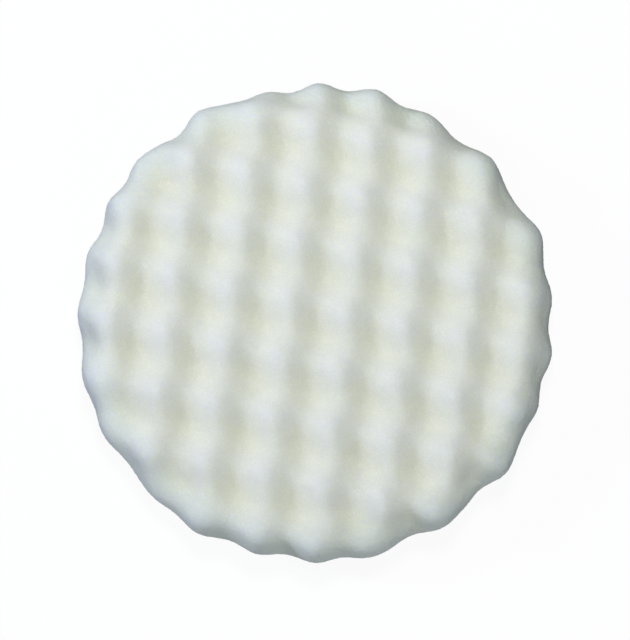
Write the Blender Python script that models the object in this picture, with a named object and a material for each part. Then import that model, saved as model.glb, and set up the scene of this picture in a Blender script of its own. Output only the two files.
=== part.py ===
"""Polishing pad: a waffle foam disc with a recessed hook-and-loop back.

The pad lies on its back, with the waffle face up. Metres, +Z up, and the origin is on the pad's
axis in the plane of the foam's back rim. The layers in the recess are separate discs, stacked
downwards from the floor of the recess: bond film, support disc, bond film, loop fabric.
"""
import math

import bpy

# Driving dimensions, in metres
PAD_RADIUS = 0.1016        # mean radius over the scalloped edge: an 8 inch pad
THICKNESS = 0.032          # back rim to the tops of the waffle
WAFFLE_DEPTH = 0.0076      # hollow to top on the face
PITCH = 0.0249             # from one waffle top to the next, both ways: about an inch
ROW_ANGLE = math.radians(-12.1)      # direction of the rows of tops, from +X
COLUMN_ANGLE = math.radians(82.4)    # direction of the columns of tops, from +X
HOLLOW_OFFSET = (0.0, -0.0072)       # the hollow nearest to the axis
LEAN = 0.15                # how far the tops lean over, as a share of half the depth
LEAN_PHASE = 0.71          # where the leaning ripple peaks, in turns of its wave
CROSS_RIPPLE = 0.045       # the ripple the other way, as a share of half the depth

FACE_FLAT_RADIUS = 0.085   # the face is level out to here, then rolls over
BACK_ROLL_RADIUS = 0.0116  # radius of the roll from the widest ring to the back
RECESS_RADIUS = 0.083      # takes a 6 inch backing plate
RECESS_DEPTH = 0.0107      # back rim to the foam floor of the recess
LIP_BEVEL = 0.0015         # small slope at the mouth of the recess

GAP = 0.0003               # clearance between the layers
FILM_THICKNESS = 0.0004
SUPPORT_THICKNESS = 0.0012
LOOP_THICKNESS = 0.0020
FILM_RADIUS = 0.0790
SUPPORT_RADIUS = 0.0810
LOOP_RADIUS = 0.0815

# Mesh resolution
SECTORS = 6                # the face is six triangular sectors of even triangles
FACE_RINGS = 20            # rings of triangles from the axis to the edge of the level face
TOP_ROLL_RINGS = 6
BACK_ROLL_RINGS = 4
DISC_SEGMENTS = 96

# Values worked out from the dimensions
FACE_LEVEL = THICKNESS - WAFFLE_DEPTH / 2
TOP_ROLL_RADIUS = PAD_RADIUS - FACE_FLAT_RADIUS
WIDEST_LEVEL = FACE_LEVEL - TOP_ROLL_RADIUS
BACK_ROLL_CENTRE = PAD_RADIUS - BACK_ROLL_RADIUS


def waffle(x, y):
    """Height of the waffle at a point of the sheet, about -1 in a hollow and 1 on a top.

    The two crossed waves give the square pattern. The diagonal ripples make the tops lean a
    little to one side, as they do in foam that was pressed and cut between profiled rollers.
    """
    dx = x - HOLLOW_OFFSET[0]
    dy = y - HOLLOW_OFFSET[1]
    spread = math.sin(COLUMN_ANGLE - ROW_ANGLE) * PITCH
    across = (dx * math.sin(COLUMN_ANGLE) - dy * math.cos(COLUMN_ANGLE)) / spread
    along = (dy * math.cos(ROW_ANGLE) - dx * math.sin(ROW_ANGLE)) / spread
    square = -(math.cos(math.tau * across) + math.cos(math.tau * along)) / 2
    lean = LEAN * math.cos(math.tau * (across + along - LEAN_PHASE))
    return square + lean + CROSS_RIPPLE * math.cos(math.tau * (across - along))


def foam_point(turn, radius, level, tilt, sheet_radius):
    """A point of the foam's skin.

    The smooth skin passes through (radius, level) and leans outwards by tilt from the vertical.
    The waffle pushes it in or out, at full depth on the level face, half at the widest ring
    and nothing on the back.
    """
    wave = waffle(sheet_radius * math.cos(turn), sheet_radius * math.sin(turn))
    push = wave * WAFFLE_DEPTH / 2 * math.cos(tilt / 2) ** 2
    out = radius + push * math.sin(tilt)
    return (out * math.cos(turn), out * math.sin(turn), level + push * math.cos(tilt))


def ring_turns(count):
    """Evenly spaced angles round a ring of count vertices."""
    return [math.tau * k / count for k in range(count)]


def sector_triangles(ring, inner_start, outer_start):
    """Triangles between the face's ring and the next one out, sector by sector."""
    inner_count = max(SECTORS * ring, 1)
    outer_count = SECTORS * (ring + 1)
    triangles = []
    for sector in range(SECTORS):
        for k in range(ring + 1):
            inner = inner_start + (sector * ring + k) % inner_count
            outer = outer_start + sector * (ring + 1) + k
            next_outer = outer_start + (sector * (ring + 1) + k + 1) % outer_count
            triangles.append([inner, outer, next_outer])
            if k < ring:
                next_inner = inner_start + (sector * ring + k + 1) % inner_count
                triangles.append([inner, next_outer, next_inner])
    return triangles


def roll_sections():
    """The skin's sections beyond the face, from its border to the back rim.

    Each is (radius, level, tilt, sheet radius), where the sheet radius says which part of the
    flat waffle sheet was rolled to this section.
    """
    sections = []
    for step in range(1, TOP_ROLL_RINGS + 1):
        tilt = math.pi / 2 * step / TOP_ROLL_RINGS
        radius = FACE_FLAT_RADIUS + TOP_ROLL_RADIUS * math.sin(tilt)
        level = WIDEST_LEVEL + TOP_ROLL_RADIUS * math.cos(tilt)
        sections.append((radius, level, tilt, radius))
    for step in range(1, BACK_ROLL_RINGS + 1):
        tilt = math.pi / 2 * (1 + step / BACK_ROLL_RINGS)
        radius = BACK_ROLL_CENTRE + BACK_ROLL_RADIUS * math.sin(tilt)
        level = WIDEST_LEVEL + BACK_ROLL_RADIUS * math.cos(tilt)
        sections.append((radius, level, tilt, 2 * PAD_RADIUS - radius))
    return sections


def foam_mesh():
    """Vertices and faces of the foam: waffle face, rolled edge, back rim and recess."""
    points = [foam_point(0.0, 0.0, FACE_LEVEL, 0.0, 0.0)]
    faces = []
    inner_start = 0
    for ring in range(FACE_RINGS):
        outer_start = len(points)
        radius = FACE_FLAT_RADIUS * (ring + 1) / FACE_RINGS
        for turn in ring_turns(SECTORS * (ring + 1)):
            points.append(foam_point(turn, radius, FACE_LEVEL, 0.0, radius))
        faces += sector_triangles(ring, inner_start, outer_start)
        inner_start = outer_start

    turns = ring_turns(SECTORS * FACE_RINGS)
    last_ring = list(range(inner_start, len(points)))

    def add_ring(ring_points):
        """Join a new ring of points to the last one with a band of triangles."""
        nonlocal last_ring
        ring = list(range(len(points), len(points) + len(ring_points)))
        points.extend(ring_points)
        for k, vertex in enumerate(ring):
            following = (k + 1) % len(ring)
            faces.append([last_ring[k], vertex, ring[following]])
            faces.append([last_ring[k], ring[following], last_ring[following]])
        last_ring = ring

    for section in roll_sections():
        add_ring([foam_point(turn, *section) for turn in turns])
    recess_sections = [
        (RECESS_RADIUS + LIP_BEVEL, 0.0),
        (RECESS_RADIUS, LIP_BEVEL),
        (RECESS_RADIUS, RECESS_DEPTH),
    ]
    for radius, level in recess_sections:
        add_ring([(radius * math.cos(turn), radius * math.sin(turn), level) for turn in turns])
    faces.append(list(reversed(last_ring)))
    return points, faces


def disc_mesh(radius, top, thickness):
    """A flat round layer whose upper face is at the level top."""
    n = DISC_SEGMENTS
    points = []
    for level in (top - thickness, top):
        for turn in ring_turns(n):
            points.append((radius * math.cos(turn), radius * math.sin(turn), level))
    faces = [list(reversed(range(n))), list(range(n, 2 * n))]
    for k in range(n):
        following = (k + 1) % n
        faces.append([k, following, n + following, n + k])
    return points, faces


def make_material(name, colour, roughness):
    """An opaque, non-metallic Principled material."""
    material = bpy.data.materials.new(name)
    material.use_nodes = True
    shader = material.node_tree.nodes["Principled BSDF"]
    shader.inputs["Base Color"].default_value = (*colour, 1.0)
    shader.inputs["Roughness"].default_value = roughness
    shader.inputs["Metallic"].default_value = 0.0
    return material


def make_object(name, mesh_data, material, sharp_degrees):
    """One named solid, shaded smooth except over edges sharper than the given angle."""
    points, faces = mesh_data
    mesh = bpy.data.meshes.new(name)
    mesh.from_pydata(points, [], faces)
    mesh.shade_smooth()
    mesh.set_sharp_from_angle(angle=math.radians(sharp_degrees))
    mesh.materials.append(material)
    piece = bpy.data.objects.new(name, mesh)
    bpy.context.scene.collection.objects.link(piece)
    return piece


def build_foam():
    """The convoluted foam disc, with the recess for the backing plate in its back."""
    material = make_material("foam_white", (0.72, 0.75, 0.68), 0.95)
    make_object("waffle_foam", foam_mesh(), material, 40)


def build_layers():
    """The bonded stack in the recess, from the foam's floor down to the loop face."""
    film = make_material("adhesive_film", (0.80, 0.76, 0.62), 0.45)
    plastic = make_material("support_plastic", (0.78, 0.79, 0.79), 0.50)
    fabric = make_material("loop_white", (0.83, 0.83, 0.81), 0.90)
    layers = [
        ("foam_bond", FILM_RADIUS, FILM_THICKNESS, film),
        ("support_disc", SUPPORT_RADIUS, SUPPORT_THICKNESS, plastic),
        ("loop_bond", FILM_RADIUS, FILM_THICKNESS, film),
        ("loop_fabric", LOOP_RADIUS, LOOP_THICKNESS, fabric),
    ]
    top = RECESS_DEPTH
    for name, radius, thickness, material in layers:
        top -= GAP
        make_object(name, disc_mesh(radius, top, thickness), material, 30)
        top -= thickness


def main():
    for old in list(bpy.data.objects):
        bpy.data.objects.remove(old, do_unlink=True)
    build_foam()
    build_layers()


main()
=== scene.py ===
import math

import bpy
import numpy as np
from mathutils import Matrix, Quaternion, Vector, noise


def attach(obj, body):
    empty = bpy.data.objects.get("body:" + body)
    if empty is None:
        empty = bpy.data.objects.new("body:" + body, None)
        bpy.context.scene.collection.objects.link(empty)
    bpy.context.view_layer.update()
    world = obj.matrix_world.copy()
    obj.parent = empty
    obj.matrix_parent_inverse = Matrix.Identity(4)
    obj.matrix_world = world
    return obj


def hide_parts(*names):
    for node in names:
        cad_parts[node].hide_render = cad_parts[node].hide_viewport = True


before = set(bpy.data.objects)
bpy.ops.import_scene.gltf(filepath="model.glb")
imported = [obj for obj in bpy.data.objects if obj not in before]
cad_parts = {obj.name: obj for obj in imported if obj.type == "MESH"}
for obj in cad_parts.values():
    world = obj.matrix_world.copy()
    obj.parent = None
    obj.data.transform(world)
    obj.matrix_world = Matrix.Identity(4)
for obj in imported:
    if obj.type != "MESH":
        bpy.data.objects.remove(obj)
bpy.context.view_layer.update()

# The foam disc, as the CAD model has it, in metres
PAD_RADIUS = 0.1016
THICKNESS = 0.032
WAFFLE_DEPTH = 0.0076
PITCH = 0.0249
ROW_ANGLE = math.radians(-12.1)
COLUMN_ANGLE = math.radians(82.4)
HOLLOW_OFFSET = (0.0, -0.0072)
LEAN = 0.15
LEAN_PHASE = 0.71
CROSS_RIPPLE = 0.045
FACE_FLAT_RADIUS = 0.085
BACK_ROLL_RADIUS = 0.0116
RECESS_RADIUS = 0.083
RECESS_DEPTH = 0.0107
LIP_BEVEL = 0.0015
FACE_LEVEL = THICKNESS - WAFFLE_DEPTH / 2
TOP_ROLL_RADIUS = PAD_RADIUS - FACE_FLAT_RADIUS
WIDEST_LEVEL = FACE_LEVEL - TOP_ROLL_RADIUS
BACK_ROLL_CENTRE = PAD_RADIUS - BACK_ROLL_RADIUS

# Resolution of the foam's skin
SECTORS = 6
FACE_RINGS = 120
TOP_ROLL_RINGS = 33
BACK_ROLL_RINGS = 22
RIM_RINGS = 6
BEVEL_RINGS = 2
WALL_RINGS = 9

# Unevenness of the cut foam: changes per metre, size in metres, and place in the noise
FOAM_WAVES = (
    (45.0, 0.00035, (0.0, 0.0, 0.0)),
    (160.0, 0.00018, (7.1, 3.3, 1.7)),
    (520.0, 0.00010, (1.9, 8.2, 4.6)),
)
CUT_CELLS = ((1000.0, 0.0003, (5.3, 2.7, 9.1)),)
SMOOTH_LEVEL = 0.001       # metres: the foam is smooth below this level
SMOOTH_BLEND = 0.004       # metres from there up to where the unevenness is complete

# Foam colours: the tops; the hollows, painted creamier for the yellowish light that bounces
# between their walls (painted bounce light); and a painted cool shade on the steep edge
FOAM_TOP = (0.868, 0.878, 0.855, 1)
FOAM_HOLLOW_PAINTED_BOUNCE = (0.88, 0.878, 0.76, 1)
FOAM_EDGE_PAINTED_SHADE = (0.92, 0.975, 1.0, 1)

# The loop cloth in the recess: a knitted ground with a pile of small loops under it
CLOTH_RADIUS = 0.0814
CLOTH_TOP = 0.0075
GROUND_THICKNESS = 0.0008
GROUND_RINGS = 40
GROUND_SEGMENTS = 240
EDGE_WAVES = 30.0          # how quickly the cut edge wanders
EDGE_UNEVENNESS = 0.0002
LOOP_SEED = 11
LOOP_SPACING = 0.00186
LOOP_SCATTER = 0.28        # as a share of the spacing
LOOP_WIDTH = 0.0015
LOOP_HEIGHT = 0.00098
LOWEST_LOOP = 0.8          # as a share of the height
LOOP_TURN = 0.75           # radians: how far the loops turn away from the rows
LOOP_SLANT = 0.0003
LOOP_POINTS = 5
YARN_RADIUS = 0.00013
YARN_SIDES = 3

# Studio lights, all round and aimed at the pad: place, diameter, watts and colour
LIGHTS = {
    "key": ((-1.30, 0.24, 0.70), 0.25, 7.8, (0.925, 0.975, 1.18)),
    "bounce": ((0.35, -1.35, 0.40), 0.8, 5.3, (0.97, 1.0, 0.99)),
    "fill": ((0.0, 0.385, 0.95), 0.25, 5.0, (0.985, 0.995, 0.93)),
}
LIGHT_TARGET = (0, 0, 0.02)
AMBIENT_COLOUR = (0.86, 1.0, 1.10, 1)
AMBIENT_STRENGTH = 0.14
FLOOR_HALF_SIZE = 3.0
FLOOR_PAINT = (0.08, 0.08, 0.08, 1)
FLOOR_GLOW = 0.93

# The photograph's viewing angle
CAMERA_LENS = 150.0          # millimetres, on a sensor of this width
CAMERA_SENSOR = 36.0
CAMERA_LEAN = 8.0            # degrees from straight overhead
CAMERA_AZIMUTH = 258.0       # degrees from +X, the side it leans to
CAMERA_SHIFT = (-0.0004, 0.0004)   # metres right and up, which sets the pad in the frame
CAMERA_HEIGHT_IN_PADS = 1.3457     # height of the frame over the pad's diameter
CAMERA_REACH = 20.0          # metres


# ---------------------------------------------------------------- objects and meshes

def link(name, data):
    """A new object with this mesh, light or camera, in the scene."""
    piece = bpy.data.objects.new(name, data)
    bpy.context.scene.collection.objects.link(piece)
    return piece


def smooth_mesh(name, points, faces):
    """A smooth-shaded mesh from points and faces."""
    mesh = bpy.data.meshes.new(name)
    mesh.from_pydata(points.tolist(), [], faces)
    mesh.shade_smooth()
    return mesh


def store_attribute(mesh, name, values):
    """Keep one value for each point, for a material to read."""
    attribute = mesh.attributes.new(name, "FLOAT", "POINT")
    attribute.data.foreach_set("value", values.astype(np.float32))


def even_turns(count):
    """Evenly spaced angles round a ring."""
    return np.arange(count) * math.tau / count


def unevenness(point, waves):
    """Sum of several waves of noise at a point."""
    return sum(
        noise.noise(point * rate + Vector(place)) * size for rate, size, place in waves
    )


# ---------------------------------------------------------------- shader nodes

def add_node(tree, kind, **inputs):
    """A shader node, with its unlinked inputs set by name (underscores stand for spaces)."""
    node = tree.nodes.new(kind)
    for key, value in inputs.items():
        node.inputs[key.replace("_", " ")].default_value = value
    return node


def new_material(name):
    """A new node material, its node tree and its Principled shader."""
    material = bpy.data.materials.new(name)
    material.use_nodes = True
    return material, material.node_tree, material.node_tree.nodes["Principled BSDF"]


def add_texture(tree, kind, **inputs):
    """A texture in the object's own coordinates."""
    place = add_node(tree, "ShaderNodeTexCoord")
    texture = add_node(tree, kind, **inputs)
    tree.links.new(place.outputs["Object"], texture.inputs["Vector"])
    return texture


def add_attribute(tree, name):
    """A value that the mesh keeps at its points."""
    attribute = add_node(tree, "ShaderNodeAttribute")
    attribute.attribute_name = name
    return attribute.outputs["Fac"]


def add_ramp(tree, value, low, high):
    """A colour between low and high, by a value from 0 to 1."""
    ramp = add_node(tree, "ShaderNodeValToRGB")
    ramp.color_ramp.elements[0].color = low
    ramp.color_ramp.elements[1].color = high
    tree.links.new(value, ramp.inputs["Fac"])
    return ramp.outputs["Color"]


def add_range(tree, value, source, target):
    """A value moved from the range source to the range target."""
    node = add_node(tree, "ShaderNodeMapRange")
    for socket, limit in zip(("From Min", "From Max", "To Min", "To Max"), (*source, *target)):
        node.inputs[socket].default_value = limit
    tree.links.new(value, node.inputs["Value"])
    return node.outputs["Result"]


def add_product(tree, first, second):
    """The product of two values."""
    node = add_node(tree, "ShaderNodeMath")
    node.operation = "MULTIPLY"
    tree.links.new(first, node.inputs[0])
    tree.links.new(second, node.inputs[1])
    return node.outputs["Value"]


def add_bump(tree, shader, height, strength, distance):
    """Bump the shader's surface by a height."""
    bump = add_node(tree, "ShaderNodeBump", Strength=strength, Distance=distance)
    tree.links.new(height, bump.inputs["Height"])
    tree.links.new(bump.outputs["Normal"], shader.inputs["Normal"])


# ---------------------------------------------------------------- materials

def foam_material():
    """White open-cell foam: fine pores and soft mottling, with painted bounce light that makes
    the hollows creamier and a painted cool shade on the steep edge.
    """
    material, tree, shader = new_material("foam_open_cell")
    links = tree.links

    # Painted bounce light: the hollows are painted creamier than the tops, for the yellowish
    # light bouncing between their walls.
    hollow_painted_bounce = add_ramp(tree, add_attribute(tree, "depth"), FOAM_TOP, FOAM_HOLLOW_PAINTED_BOUNCE)
    # Painted shade: the steep edge is painted cooler and a little darker, for the cool shade
    # light that falls on it.
    edge_painted_shade = add_ramp(tree, add_attribute(tree, "side"), (1.0, 1.0, 1.0, 1), FOAM_EDGE_PAINTED_SHADE)
    skin = add_node(tree, "ShaderNodeVectorMath")
    skin.operation = "MULTIPLY"
    links.new(hollow_painted_bounce, skin.inputs[0])
    links.new(edge_painted_shade, skin.inputs[1])

    mottle = add_texture(tree, "ShaderNodeTexNoise", Scale=130.0, Detail=3.0, Roughness=0.6)
    cells = add_texture(tree, "ShaderNodeTexVoronoi", Scale=1250.0, Randomness=1.0)
    shade = add_product(
        tree,
        add_range(tree, mottle.outputs["Fac"], (0.3, 0.7), (0.985, 1.01)),
        add_range(tree, cells.outputs["Distance"], (0.1, 0.8), (0.96, 1.02)),
    )
    colour = add_node(tree, "ShaderNodeVectorMath")
    colour.operation = "SCALE"
    links.new(skin.outputs["Vector"], colour.inputs[0])
    links.new(shade, colour.inputs["Scale"])
    links.new(colour.outputs["Vector"], shader.inputs["Base Color"])
    add_bump(tree, shader, cells.outputs["Distance"], 0.3, 0.0003)

    shader.inputs["Roughness"].default_value = 0.95
    shader.inputs["Specular IOR Level"].default_value = 0.15
    shader.inputs["Subsurface Weight"].default_value = 1.0
    shader.inputs["Subsurface Radius"].default_value = (1.0, 1.0, 0.8)
    shader.inputs["Subsurface Scale"].default_value = 0.003
    return material


def grained_material(name, colour, roughness, scale, variation, bump_height):
    """A matt material with a fine procedural grain in its colour and surface."""
    material, tree, shader = new_material(name)
    grain = add_texture(tree, "ShaderNodeTexNoise", Scale=scale, Detail=4.0, Roughness=0.6)
    level = add_range(tree, grain.outputs["Fac"], (0.3, 0.7), (1 - variation, 1 + variation))
    tone = add_node(tree, "ShaderNodeVectorMath")
    tone.operation = "SCALE"
    tone.inputs[0].default_value = colour
    tree.links.new(level, tone.inputs["Scale"])
    tree.links.new(tone.outputs["Vector"], shader.inputs["Base Color"])
    add_bump(tree, shader, grain.outputs["Fac"], 0.4, bump_height)
    shader.inputs["Roughness"].default_value = roughness
    return material


def knit_material():
    """White warp knit: fine ribs one way, smaller stitches across them."""
    material, tree, shader = new_material("loop_knit")
    ribs = add_texture(
        tree, "ShaderNodeTexWave", Scale=260.0, Distortion=0.6, Detail_Scale=2.0
    )
    stitches = add_texture(
        tree, "ShaderNodeTexWave", Scale=420.0, Distortion=0.8, Detail_Scale=2.0
    )
    stitches.bands_direction = "Y"
    knit = add_product(tree, ribs.outputs["Fac"], stitches.outputs["Fac"])
    tone = add_ramp(tree, knit, (0.56, 0.56, 0.54, 1), (0.80, 0.80, 0.78, 1))
    tree.links.new(tone, shader.inputs["Base Color"])
    add_bump(tree, shader, knit, 0.6, 0.0002)
    shader.inputs["Roughness"].default_value = 0.9
    return material


def yarn_material():
    """Glossier synthetic yarn, with a slight change of tone from loop to loop."""
    material = grained_material("loop_yarn", (0.84, 0.84, 0.82), 0.7, 700.0, 0.10, 0.00004)
    shader = material.node_tree.nodes["Principled BSDF"]
    shader.inputs["Sheen Weight"].default_value = 0.25
    shader.inputs["Sheen Roughness"].default_value = 0.5
    return material


def floor_material():
    """White to the eye, but it throws little light back up at the pad's edge."""
    material = bpy.data.materials.new("floor_white")
    material.use_nodes = True
    tree = material.node_tree
    tree.nodes.clear()
    links = tree.links
    paint = add_node(tree, "ShaderNodeBsdfDiffuse", Color=FLOOR_PAINT)
    unlit = add_node(tree, "ShaderNodeEmission", Strength=0.0)
    glow = add_node(tree, "ShaderNodeEmission", Strength=FLOOR_GLOW)
    ray = add_node(tree, "ShaderNodeLightPath")
    shown = add_node(tree, "ShaderNodeMixShader")
    links.new(ray.outputs["Is Camera Ray"], shown.inputs[0])
    links.new(unlit.outputs[0], shown.inputs[1])
    links.new(glow.outputs[0], shown.inputs[2])
    both = add_node(tree, "ShaderNodeAddShader")
    links.new(paint.outputs[0], both.inputs[0])
    links.new(shown.outputs[0], both.inputs[1])
    output = add_node(tree, "ShaderNodeOutputMaterial")
    links.new(both.outputs[0], output.inputs["Surface"])
    return material


# ---------------------------------------------------------------- the foam

def waffle(x, y):
    """Height of the waffle at points of the sheet, about -1 in a hollow and 1 on a top."""
    dx = x - HOLLOW_OFFSET[0]
    dy = y - HOLLOW_OFFSET[1]
    spread = math.sin(COLUMN_ANGLE - ROW_ANGLE) * PITCH
    across = (dx * math.sin(COLUMN_ANGLE) - dy * math.cos(COLUMN_ANGLE)) / spread
    along = (dy * math.cos(ROW_ANGLE) - dx * math.sin(ROW_ANGLE)) / spread
    square = -(np.cos(math.tau * across) + np.cos(math.tau * along)) / 2
    lean = LEAN * np.cos(math.tau * (across + along - LEAN_PHASE))
    return square + lean + CROSS_RIPPLE * np.cos(math.tau * (across - along))


def skin_ring(turns, radius, level, tilt, sheet_radius):
    """One ring of the smooth skin: columns turn, radius, level, tilt and sheet radius."""
    ring = np.empty((len(turns), 5))
    ring[:, 0] = turns
    ring[:, 1:] = (radius, level, tilt, sheet_radius)
    return ring


def skin_sections():
    """The rings beyond the level face, as (radius, level, tilt, sheet radius)."""
    sections = []
    for step in range(1, TOP_ROLL_RINGS + 1):
        tilt = math.pi / 2 * step / TOP_ROLL_RINGS
        radius = FACE_FLAT_RADIUS + TOP_ROLL_RADIUS * math.sin(tilt)
        level = WIDEST_LEVEL + TOP_ROLL_RADIUS * math.cos(tilt)
        sections.append((radius, level, tilt, radius))
    for step in range(1, BACK_ROLL_RINGS + 1):
        tilt = math.pi / 2 * (1 + step / BACK_ROLL_RINGS)
        radius = BACK_ROLL_CENTRE + BACK_ROLL_RADIUS * math.sin(tilt)
        level = WIDEST_LEVEL + BACK_ROLL_RADIUS * math.cos(tilt)
        sections.append((radius, level, tilt, 2 * PAD_RADIUS - radius))
    # Corners of the back's profile: radius, level, and the number of rings on the way there
    corners = [
        (BACK_ROLL_CENTRE, 0.0, 0),
        (RECESS_RADIUS + LIP_BEVEL, 0.0, RIM_RINGS),
        (RECESS_RADIUS, LIP_BEVEL, BEVEL_RINGS),
        (RECESS_RADIUS, RECESS_DEPTH, WALL_RINGS),
    ]
    for (r0, z0, _), (r1, z1, count) in zip(corners, corners[1:]):
        for step in range(1, count + 1):
            part = step / count
            radius = r0 + (r1 - r0) * part
            level = z0 + (z1 - z0) * part
            sections.append((radius, level, math.pi, 2 * PAD_RADIUS))
    return sections


def face_triangles():
    """Triangles of the level face, ring after ring, and the first point of its last ring."""
    triangles = []
    inner_start = 0
    outer_start = 1
    for ring in range(FACE_RINGS):
        inner_count = max(SECTORS * ring, 1)
        outer_count = SECTORS * (ring + 1)
        sector = np.repeat(np.arange(SECTORS), ring + 1)
        k = np.tile(np.arange(ring + 1), SECTORS)
        inner = inner_start + (sector * ring + k) % inner_count
        outer = outer_start + sector * (ring + 1) + k
        next_outer = outer_start + (sector * (ring + 1) + k + 1) % outer_count
        triangles.append(np.stack([inner, outer, next_outer], 1))
        more = k < ring
        next_inner = inner_start + (sector * ring + k + 1) % inner_count
        triangles.append(np.stack([inner, next_outer, next_inner], 1)[more])
        inner_start = outer_start
        outer_start += outer_count
    return np.concatenate(triangles), inner_start


def skin_faces(section_count, ring_size):
    """Faces of the whole skin: level face, bands round the edge and back, recess floor."""
    triangles, border = face_triangles()
    bands = []
    k = np.arange(ring_size)
    following = (k + 1) % ring_size
    for _ in range(section_count):
        outer = border + ring_size
        bands.append(np.stack([border + k, outer + k, outer + following], 1))
        bands.append(np.stack([border + k, outer + following, border + following], 1))
        border = outer
    faces = np.concatenate([triangles, *bands]).tolist()
    faces.append((border + k[::-1]).tolist())
    return faces


def make_foam():
    """The foam disc: waffle face, rolled scalloped edge, back rim and recess."""
    rings = [skin_ring(np.zeros(1), 0.0, FACE_LEVEL, 0.0, 0.0)]
    for ring in range(1, FACE_RINGS + 1):
        radius = FACE_FLAT_RADIUS * ring / FACE_RINGS
        rings.append(skin_ring(even_turns(SECTORS * ring), radius, FACE_LEVEL, 0.0, radius))
    turns = even_turns(SECTORS * FACE_RINGS)
    sections = skin_sections()
    rings += [skin_ring(turns, *section) for section in sections]
    turn, radius, level, tilt, sheet_radius = np.concatenate(rings).T

    wave = waffle(sheet_radius * np.cos(turn), sheet_radius * np.sin(turn))
    fade = np.cos(tilt / 2) ** 2
    push = wave * WAFFLE_DEPTH / 2 * fade
    outward = [np.sin(tilt) * np.cos(turn), np.sin(tilt) * np.sin(turn), np.cos(tilt)]
    normal = np.stack(outward, 1)
    base = np.stack([radius * np.cos(turn), radius * np.sin(turn), level], 1)
    points = base + normal * push[:, None]

    # Small unevenness all over the cut foam, and a grain of open cells on the steep edge
    loose = np.clip((level - SMOOTH_LEVEL) / SMOOTH_BLEND, 0, 1) * np.cos(tilt / 2) ** 0.5
    rough = np.array([unevenness(Vector(p), FOAM_WAVES) for p in points])
    grain = np.array([unevenness(Vector(p), CUT_CELLS) for p in points]) * np.sin(tilt)
    points += normal * ((rough + grain) * loose)[:, None]

    mesh = smooth_mesh("waffle_foam_skin", points, skin_faces(len(sections), len(turns)))
    # The material paints the hollows creamier by this depth, as painted bounce light.
    store_attribute(mesh, "depth", (1 - wave) / 2 * fade)
    # The material paints a cool shade on the steep edge by this steepness.
    store_attribute(mesh, "side", np.sin(tilt))
    foam = link("foam_skin", mesh)
    foam.data.materials.append(foam_material())
    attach(foam, "root")
    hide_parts("waffle_foam")


# ---------------------------------------------------------------- the loop cloth

def ground_mesh():
    """The knitted ground: a thin flat disc with a slightly uneven cut edge."""
    turns = even_turns(GROUND_SEGMENTS)
    round_edge = [Vector((math.cos(t), math.sin(t), 0.0)) * EDGE_WAVES for t in turns]
    wander = np.array([noise.noise(p) for p in round_edge])
    edge = CLOTH_RADIUS - EDGE_UNEVENNESS + EDGE_UNEVENNESS * wander
    bottom = CLOTH_TOP - GROUND_THICKNESS
    shares = np.arange(1, GROUND_RINGS + 1) / GROUND_RINGS
    stack = [(share, bottom) for share in shares] + [(share, CLOTH_TOP) for share in shares[::-1]]
    points = [np.array([[0.0, 0.0, bottom]])]
    for share, level in stack:
        flat = [edge * share * np.cos(turns), edge * share * np.sin(turns)]
        points.append(np.stack([*flat, np.full(len(turns), level)], 1))
    points.append(np.array([[0.0, 0.0, CLOTH_TOP]]))

    k = np.arange(GROUND_SEGMENTS)
    following = (k + 1) % GROUND_SEGMENTS
    triangles = [np.stack([np.zeros_like(k), 1 + following, 1 + k], 1)]
    for band in range(len(stack) - 1):
        inner = 1 + band * GROUND_SEGMENTS
        outer = inner + GROUND_SEGMENTS
        triangles.append(np.stack([inner + k, outer + following, outer + k], 1))
        triangles.append(np.stack([inner + k, inner + following, outer + following], 1))
    last = 1 + (len(stack) - 1) * GROUND_SEGMENTS
    middle = np.full_like(k, last + GROUND_SEGMENTS)
    triangles.append(np.stack([last + k, last + following, middle], 1))
    return smooth_mesh("loop_ground", np.concatenate(points), np.concatenate(triangles).tolist())


def loop_places(rng):
    """Where the loops stand: rows of loops with a little unevenness."""
    reach = int(CLOTH_RADIUS / LOOP_SPACING) + 2
    rows = reach + 8       # the rows are closer together than the loops in a row
    row, column = np.mgrid[-rows:rows + 1, -reach:reach + 1]
    x = (column + 0.5 * (row % 2)) * LOOP_SPACING
    y = row * LOOP_SPACING * math.sqrt(0.75)
    places = np.stack([x.ravel(), y.ravel()], 1)
    places += rng.uniform(-LOOP_SCATTER, LOOP_SCATTER, places.shape) * LOOP_SPACING
    return places[np.hypot(*places.T) < CLOTH_RADIUS - LOOP_WIDTH]


def yarn_triangles():
    """Triangles of one loop: the tube round its yarn and a cap on each foot."""
    triangles = []
    for step in range(LOOP_POINTS - 1):
        for k in range(YARN_SIDES):
            here = step * YARN_SIDES + k
            following = step * YARN_SIDES + (k + 1) % YARN_SIDES
            triangles.append((here, following + YARN_SIDES, following))
            triangles.append((here, here + YARN_SIDES, following + YARN_SIDES))
    end = (LOOP_POINTS - 1) * YARN_SIDES
    return np.array(triangles + [(0, 1, 2), (end, end + 2, end + 1)])


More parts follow.
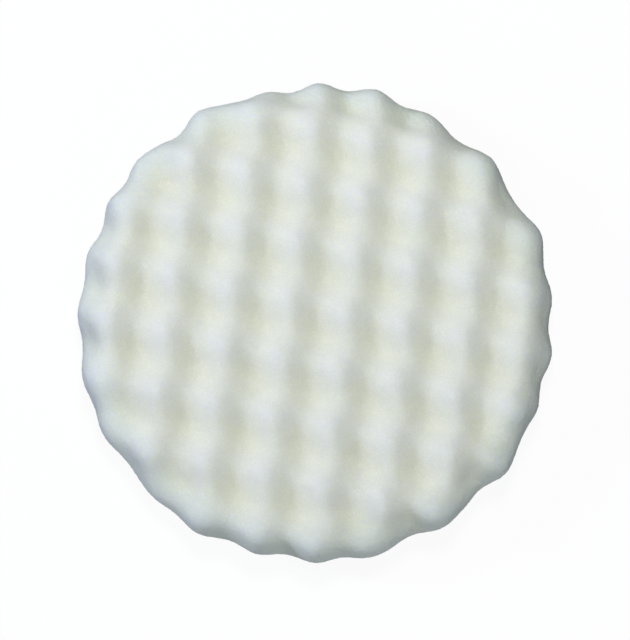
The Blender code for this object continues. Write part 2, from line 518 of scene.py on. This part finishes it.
def pile_mesh():
    """The loops: short arches of yarn whose feet are buried in the ground."""
    rng = np.random.default_rng(LOOP_SEED)
    places = loop_places(rng)
    count = len(places)
    heading = rng.normal(0.0, LOOP_TURN, count)
    ahead = np.stack([np.cos(heading), np.sin(heading), np.zeros(count)], 1)[:, None]
    side = np.stack([-np.sin(heading), np.cos(heading), np.zeros(count)], 1)[:, None]
    down = np.array([0.0, 0.0, -1.0])
    arc = np.linspace(0.0, math.pi, LOOP_POINTS)[None, :, None]
    height = LOOP_HEIGHT * rng.uniform(LOWEST_LOOP, 1.0, count)[:, None, None]
    slant = rng.normal(0.0, LOOP_SLANT, count)[:, None, None]
    foot_level = np.full((count, 1), CLOTH_TOP - GROUND_THICKNESS + YARN_RADIUS)
    foot = np.append(places, foot_level, 1)[:, None]
    spine = foot - ahead * np.cos(arc) * LOOP_WIDTH / 2 + down * np.sin(arc) * height
    spine = spine + side * np.sin(arc) * slant
    outward = down * np.sin(arc) - ahead * np.cos(arc)

    around = even_turns(YARN_SIDES)[None, None, :, None]
    tube = side[:, :, None] * np.cos(around) + outward[:, :, None] * np.sin(around)
    points = (spine[:, :, None] + YARN_RADIUS * tube).reshape(-1, 3)
    first_points = LOOP_POINTS * YARN_SIDES * np.arange(count)
    triangles = yarn_triangles()[None] + first_points[:, None, None]
    return smooth_mesh("loop_pile", points, triangles.reshape(-1, 3).tolist())


def make_loop_cloth():
    """The loop cloth as a laid sheet: its knitted ground and the pile on it."""
    ground = link("loop_ground", ground_mesh())
    ground.data.materials.append(knit_material())
    pile = link("loop_pile", pile_mesh())
    pile.data.materials.append(yarn_material())
    for piece in (ground, pile):
        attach(piece, "root")
    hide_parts("loop_fabric")


def dress_cad_nodes():
    """Give the carried-over films and support disc their materials."""
    film = grained_material("adhesive_film", (0.80, 0.76, 0.62), 0.45, 260.0, 0.06, 0.0001)
    plastic = grained_material("support_plastic", (0.78, 0.79, 0.79), 0.5, 900.0, 0.03, 0.00005)
    for name, material in (("foam_bond", film), ("loop_bond", film), ("support_disc", plastic)):
        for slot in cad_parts[name].material_slots:
            slot.material = material


# ---------------------------------------------------------------- studio

def make_light(name, position, size, watts, colour):
    """A round soft light, aimed at the pad."""
    data = bpy.data.lights.new(name, "AREA")
    data.shape = "DISK"
    data.size = size
    data.energy = watts
    data.color = colour
    lamp = link(name, data)
    aim = Vector(LIGHT_TARGET) - Vector(position)
    lamp.location = position
    lamp.rotation_euler = aim.to_track_quat("-Z", "Y").to_euler()


def make_world():
    """An even white surround: bright to look at, dimmer and cooler as a light."""
    world = bpy.data.worlds.new("studio")
    world.use_nodes = True
    tree = world.node_tree
    lighting = tree.nodes["Background"]
    lighting.inputs["Color"].default_value = AMBIENT_COLOUR
    lighting.inputs["Strength"].default_value = AMBIENT_STRENGTH
    backdrop = add_node(tree, "ShaderNodeBackground", Color=(1.0, 1.0, 1.0, 1), Strength=1.0)
    ray = add_node(tree, "ShaderNodeLightPath")
    shown = add_node(tree, "ShaderNodeMixShader")
    tree.links.new(ray.outputs["Is Camera Ray"], shown.inputs[0])
    tree.links.new(lighting.outputs[0], shown.inputs[1])
    tree.links.new(backdrop.outputs[0], shown.inputs[2])
    tree.links.new(shown.outputs[0], tree.nodes["World Output"].inputs["Surface"])
    bpy.context.scene.world = world


def make_stage():
    """A pale floor, a cool key light from the left, a fill from above and one low in front."""
    size = FLOOR_HALF_SIZE
    corners = [(-size, -size, 0), (size, -size, 0), (size, size, 0), (-size, size, 0)]
    mesh = bpy.data.meshes.new("floor")
    mesh.from_pydata(corners, [], [(0, 1, 2, 3)])
    floor = link("floor", mesh)
    floor.data.materials.append(floor_material())
    make_world()
    for name, settings in LIGHTS.items():
        make_light(name, *settings)


def make_camera():
    """Nearly overhead: leaning back a little towards the lower edge of the picture."""
    data = bpy.data.cameras.new("camera")
    data.lens = CAMERA_LENS
    data.sensor_width = CAMERA_SENSOR
    data.clip_end = CAMERA_REACH
    view_height = 2 * PAD_RADIUS * CAMERA_HEIGHT_IN_PADS
    distance = view_height * data.lens / data.sensor_width
    azimuth = math.radians(CAMERA_AZIMUTH)
    lean_axis = Vector((-math.sin(azimuth), math.cos(azimuth), 0.0))
    turn = Quaternion(lean_axis, math.radians(CAMERA_LEAN))
    camera = link("camera", data)
    camera.location = turn @ Vector((*CAMERA_SHIFT, distance)) + Vector((0.0, 0.0, WIDEST_LEVEL))
    camera.rotation_euler = turn.to_euler()
    bpy.context.scene.camera = camera


make_camera()
make_foam()
make_loop_cloth()
dress_cad_nodes()
make_stage()
bpy.context.scene.view_settings.view_transform = "Standard"
